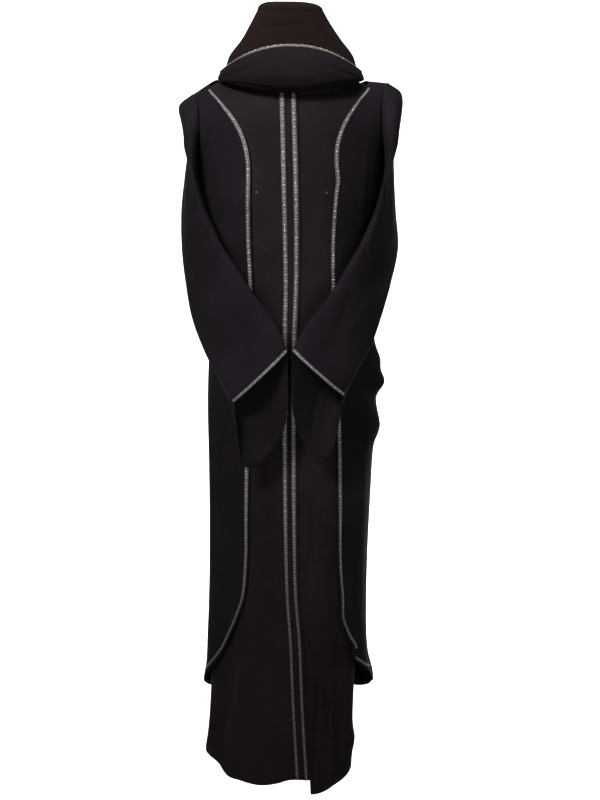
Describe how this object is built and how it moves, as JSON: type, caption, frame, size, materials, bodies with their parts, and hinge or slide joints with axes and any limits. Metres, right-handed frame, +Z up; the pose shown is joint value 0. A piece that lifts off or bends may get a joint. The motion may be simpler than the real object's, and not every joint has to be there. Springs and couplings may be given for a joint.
{
  "type": "kaftan",
  "caption": "Floor-length hooded kaftan in two layers, filled out as worn: an open coat with wide sleeves over a long dress, edged with beaded braid.",
  "frame": {"origin": "the base of the wearer's neck at shoulder height, where the wearer's shoulders hold the kaftan", "axes": "+Z up, the front faces -Y, +X is the wearer's left"},
  "size_m": [0.4376, 0.3484, 1.6041],
  "materials": {
    "dress_cloth": "matte black crepe",
    "coat_cloth": "matte black crepe",
    "hood_cloth": "matte black crepe",
    "braid": "silver-grey braid with small beads"
  },
  "bodies": {
    "root": {"kaftan_front_right": "dress_cloth", "kaftan_front_left": "dress_cloth", "kaftan_back": "dress_cloth", "coat_side_front_right": "coat_cloth", "coat_side_front_left": "coat_cloth", "coat_back": "coat_cloth", "sleeve_right": "coat_cloth", "sleeve_left": "coat_cloth", "hood": "hood_cloth", "hood_front": "hood_cloth", "braid_centre_left": "braid", "braid_centre_right": "braid", "braid_coat_left": "braid", "braid_coat_right": "braid", "braid_cuff_left": "braid", "braid_cuff_right": "braid", "braid_hood": "braid"}
  },
  "joints": []
}
